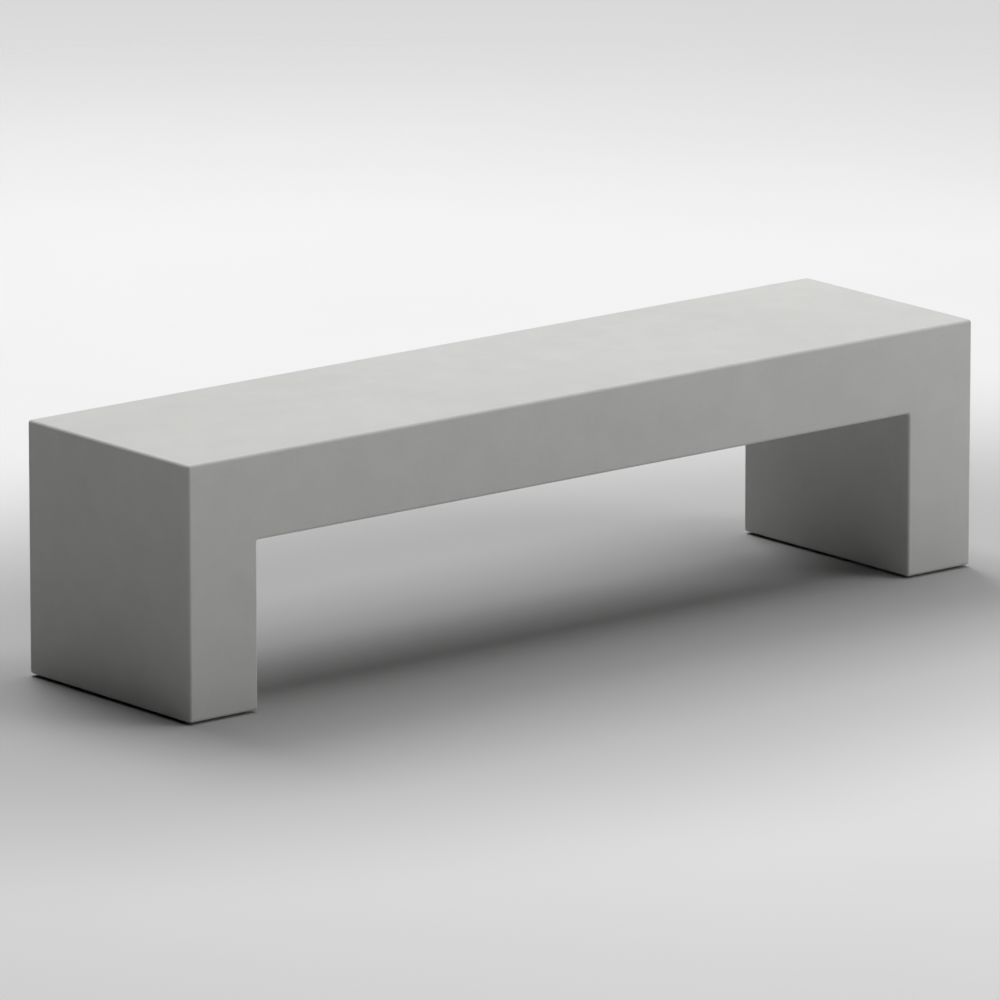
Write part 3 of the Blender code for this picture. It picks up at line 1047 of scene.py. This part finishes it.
def make_plastic():
    material = new_material("grey_plastic", roughness=0.5, specular=0.45)
    where = places(material)
    flow = spread(material, grain(material, where, scale=80.0), 0.9, 1.1)
    colour = blend_colours(material, flow, PLASTIC_DARK, PLASTIC_GREY)
    connect(material, shade_colour(material, colour, flow), "Base Color")
    mould_grain = grain(material, where, scale=2500.0, detail=2.0)
    connect(material, spread(material, mould_grain, low=0.42, high=0.58), "Roughness")
    connect(material, bump(material, mould_grain, depth=0.00004), "Normal")
    return material


plastic = make_plastic()
for node in sorted(n for n in cad_nodes if n.endswith("_plug")):
    plug = make_plug(node)
    finish_piece(plug, plastic, [node])
describe(plug)

# %% [markdown]
# ## Sockets
#
# The sockets are turned steel, and they could be spun again like the plugs. They are right in the
# CAD model already, though, and a plug hides each one. So the nodes are kept as they are, and only
# their material slots are filled with the zinc finish.

# %% Sockets
socket_nodes = sorted(n for n in cad_nodes if n.endswith("_socket"))
for node in socket_nodes:
    for material_slot in cad_nodes[node].material_slots:
        material_slot.material = zinc
print("sockets:", socket_nodes)

# %% [markdown]
# ## Cut the casting round all that is set into it
#
# Concrete flows round the cage, so the casting holds the cage's exact print. Each bar is swept
# again, a hair thicker, and taken away, along with the recesses for the pads, the bores for the
# sockets and the air holes. A Boolean for each cutter would take minutes, and one with the whole
# collection of them does it in one pass. Where two bars lie close together their cutters overlap,
# which the exact solver copes with.

# %% Cut the casting
GRIP_GAP = 0.0003  # the clearance that the CAD model leaves round each piece in the concrete


def bar_void(node):
    start, bends, end, radius, bend_radius = line_of(node)
    stops = [start, *bends, end]
    if (end - start).length > SAME_PLACE:
        start = start - (stops[1] - start).normalized() * GRIP_GAP
        end = end + (end - stops[-2]).normalized() * GRIP_GAP
    return round_bar(start, bends, end, radius + GRIP_GAP, bend_radius)


def pad_recess(node):
    low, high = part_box(node)
    gap = Vector((GRIP_GAP,) * 3)
    return rounded_plate(low - gap - Vector((0, 0, PAST)), high + gap, PAD_CORNER_RADIUS + GRIP_GAP)


def socket_bore(node):
    low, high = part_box(node)
    radius = (high.x - low.x) / 2 + GRIP_GAP
    bottom = low.z - PAST
    top = high.z + GRIP_GAP
    return spun([(0, bottom), (radius, bottom), (radius, top), (0, top)], middle_of(node))


def cut_casting(obj, cutters):
    group = bpy.data.collections.new("casting_cutters")
    for cutter in cutters:
        group.objects.link(cutter)
    modifier = obj.modifiers.new("prints", "BOOLEAN")
    modifier.operation = "DIFFERENCE"
    modifier.solver = "EXACT"
    modifier.operand_type = "COLLECTION"
    modifier.collection = group
    settle_modifiers(obj)
    for cutter in cutters:
        bpy.data.objects.remove(cutter)
    bpy.data.collections.remove(group)


voids = [mesh_object(n + "_void", bar_void(n)) for n in ribbed_nodes + plain_nodes]
voids += [mesh_object(n + "_recess", pad_recess(n)) for n in pad_nodes]
voids += [mesh_object(n + "_bore", socket_bore(n)) for n in socket_nodes]
cut_casting(casting, [*voids, air_holes])
describe(casting)

# %% [markdown]
# ## Dress the casting
#
# The faces that look down at the level of the soles take the trowelled material, and all others
# the fair face. Smooth shading alone would bend light across the wide flat faces near each arris,
# so a Weighted Normal modifier lets the largest face at each point decide.

# %% Dress the casting
def dress_casting(obj):
    mesh = obj.data
    mesh.shade_smooth()
    mesh.set_sharp_from_angle(angle=SHARP_ANGLE)
    finish_piece(obj, fair_faced, ["concrete_casting"])
    mesh.materials.append(trowelled)
    for face in mesh.polygons:
        at_sole = abs(face.center.z - SOLE) < SAME_PLACE
        face.material_index = 1 if at_sole and face.normal.z < 0 else 0
    weighted = obj.modifiers.new("flat_faces_stay_flat", "WEIGHTED_NORMAL")
    weighted.mode = "FACE_AREA"
    weighted.keep_sharp = True
    settle_modifiers(obj)


dress_casting(casting)
describe(casting)

# %% [markdown]
# ## Floor
#
# A studio floor should be seen and not noticed. It is pale and matte with the faintest mottling.
# It also lights the bench from below: a white floor near the bench would wash out its shaded
# faces, and a grey one behind it would swallow the seat's back edge. So the paint is greyer round
# the bench, in an oval that is longer along the bench, and reads there as a painted soft shadow.
# It pales with distance, which is painted light where the lamps fall off.

# %% Floor paint
FLOOR_NEAR_PAINTED_SHADE = (0.38, 0.38, 0.38)
FLOOR_FAR_PAINTED_LIGHT = (0.70, 0.70, 0.70)
FLOOR_MOTTLE = 0.015
PAINTED_POOL_EDGES = (0.5, 1.6)  # metres from the middle, across the bench, where it starts and ends
OVAL = 0.6  # the oval's width over its length


def distance_out(material, oval=1.0):
    """Metres from the middle of the floor, counted less along the bench where oval is under 1."""
    where = places(material, (oval, 1.0, 1.0))
    return add_node(material, "ShaderNodeVectorMath", [(0, where)], operation="LENGTH").outputs["Value"]


def make_floor_paint():
    material = new_material("floor_paint_with_painted_pool", roughness=1.0, specular=0.0)
    # The grey round the bench is a painted soft shadow, and the paler paint further out is painted
    # light.
    painted_pool = spread(material, distance_out(material, OVAL), 0.0, 1.0, *PAINTED_POOL_EDGES, smooth=True)
    paint = blend_colours(material, painted_pool, FLOOR_NEAR_PAINTED_SHADE, FLOOR_FAR_PAINTED_LIGHT)
    mottle = grain(material, places(material), scale=0.8)
    tone = spread(material, mottle, 1 - FLOOR_MOTTLE, 1 + FLOOR_MOTTLE)
    connect(material, shade_colour(material, paint, tone), "Base Color")
    return material


# %% [markdown]
# ## The floor's edge
#
# A floor that stops somewhere shows its edge to a low camera, and one without end turns dark where
# the lamps fade. So the paint turns clear some metres out, and a backdrop as pale as itself takes
# over behind it. From below it is clear too, which lets a camera there see the underside.

# %% Floor
FLOOR_SIDE = 40.0
CLEARING = (3.2, 6.5)  # metres from the middle where the paint starts and ends turning clear


def clear_away(material):
    """Fades the paint to clear air far out, and on the face's underside."""
    far = spread(material, distance_out(material), 0.0, 1.0, *CLEARING, smooth=True)
    below = add_node(material, "ShaderNodeNewGeometry").outputs["Backfacing"]
    share = add_node(material, "ShaderNodeMath", [(0, far), (1, below)], operation="MAXIMUM").outputs[0]
    paint = material.node_tree.nodes["Principled BSDF"].outputs[0]
    clear = add_node(material, "ShaderNodeBsdfTransparent").outputs[0]
    mixed = add_node(material, "ShaderNodeMixShader", [(0, share), (1, paint), (2, clear)]).outputs[0]
    surface = material.node_tree.nodes["Material Output"].inputs["Surface"]
    material.node_tree.links.new(mixed, surface)


def make_floor():
    bm = bmesh.new()
    bmesh.ops.create_grid(bm, x_segments=1, y_segments=1, size=FLOOR_SIDE / 2)
    floor = mesh_object("studio_floor", bm)
    paint = make_floor_paint()
    clear_away(paint)
    floor.data.materials.append(paint)
    floor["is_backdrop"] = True
    return floor


describe(make_floor())

# %% [markdown]
# ## Lights
#
# Matte concrete shows only how much light each face gets, so the faces are told apart by the
# lights alone, and three are enough. A softbox overhead and one high behind, both a little to the
# right, make the seat the palest face. One in front and further to the right keeps the long front
# a middle grey and leaves the left end in shade. All are wide, so that the shadows are soft, and
# they stand well back, so that both ends of the bench get nearly the same light. A bearing counts
# from straight in front of the bench towards its right end.

# %% Lights
SOFTBOXES = {
    # name: (bearing and height in degrees, distance and side in metres, power in watts)
    "softbox_above": (90, 78, 9.0, 7.0, 540),
    "softbox_behind": (168, 55, 10.0, 5.0, 690),
    "softbox_front_right": (40, 22, 8.0, 4.0, 236),
}
bench_middle = (cad_box[0] + cad_box[1]) / 2


def direction_to(bearing, height):
    """The unit vector towards a bearing and height, in degrees, as seen from the bench."""
    turn, lift = math.radians(bearing), math.radians(height)
    return Vector((math.sin(turn) * math.cos(lift), -math.cos(turn) * math.cos(lift), math.sin(lift)))


def make_softbox(name, bearing, height, distance, side, power):
    light = bpy.data.lights.new(name, "AREA")
    light.shape = "SQUARE"
    light.size = side
    light.energy = power
    box = bpy.data.objects.new(name, light)
    bpy.context.scene.collection.objects.link(box)
    towards = direction_to(bearing, height)
    box.location = bench_middle + towards * distance
    box.rotation_euler = (-towards).to_track_quat("-Z", "Y").to_euler()


for name, setting in SOFTBOXES.items():
    make_softbox(name, *setting)
print("lights:", len(SOFTBOXES))

# %% [markdown]
# ## Backdrop
#
# Past the floor the world itself is the backdrop. A wall could be modelled, but it would need to
# follow every camera round. The world is as pale as the floor below the horizon and for about two
# and a half degrees above it. Higher up it is black, because a bright sky would flatten every
# shadow. The world's texture coordinates are directions, so the fade needs only their height.

# %% Backdrop
HORIZON_GLOW = 0.68
GLOW_FADES = (0.042, 0.055)  # sines of the heights above the horizon where it starts and ends


def make_backdrop():
    world = bpy.data.worlds.new("backdrop")
    world.use_nodes = True
    direction = add_node(world, "ShaderNodeTexCoord").outputs["Object"]
    height = add_node(world, "ShaderNodeSeparateXYZ", [(0, direction)]).outputs["Z"]
    glow = spread(world, height, HORIZON_GLOW, 0.0, *GLOW_FADES, smooth=True)
    backdrop = world.node_tree.nodes["Background"]
    backdrop.inputs["Color"].default_value = (1, 1, 1, 1)
    world.node_tree.links.new(glow, backdrop.inputs["Strength"])
    return world


bpy.context.scene.world = make_backdrop()
print("backdrop:", bpy.context.scene.world.name)

# %% [markdown]
# ## Camera
#
# The bench is seen from in front of its left end, from well back through a long lens, so its long
# edges hardly converge. The camera is placed by how it looks at the bench, and not by where it
# stands: a bearing, a height, a distance, and the point that it aims at. "Standard" colour keeps
# the greys as the lights make them, where the default would roll off the bright ones.

# %% Camera
LENS_MM = 431
SENSOR_MM = 36
CAMERA_BEARING = -39.474
CAMERA_HEIGHT = 13.608
CAMERA_DISTANCE = 21.3
AIM_FROM_MIDDLE = Vector((-0.029, -0.012, -0.003))


def make_camera():
    lens = bpy.data.cameras.new("camera")
    lens.lens = LENS_MM
    lens.sensor_width = SENSOR_MM
    lens.clip_end = 10 * CAMERA_DISTANCE
    camera = bpy.data.objects.new("camera", lens)
    bpy.context.scene.collection.objects.link(camera)
    towards = direction_to(CAMERA_BEARING, CAMERA_HEIGHT)
    camera.location = bench_middle + AIM_FROM_MIDDLE + towards * CAMERA_DISTANCE
    camera.rotation_euler = (-towards).to_track_quat("-Z", "Y").to_euler()
    return camera


bpy.context.scene.camera = make_camera()
bpy.context.scene.view_settings.view_transform = "Standard"
print("camera at", [round(c, 3) for c in bpy.context.scene.camera.location])

# %% [markdown]
# ## Compare the size
#
# Looks must not change the size. The box of the CAD model, kept from the start, and the box of
# what is shown now are compared corner by corner.

# %% Size
visual_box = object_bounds()
for corner, cad, visual in zip(("lowest", "highest"), cad_box, visual_box):
    print(corner, "corner moved by", [round(1000 * side, 2) for side in visual - cad], "mm")
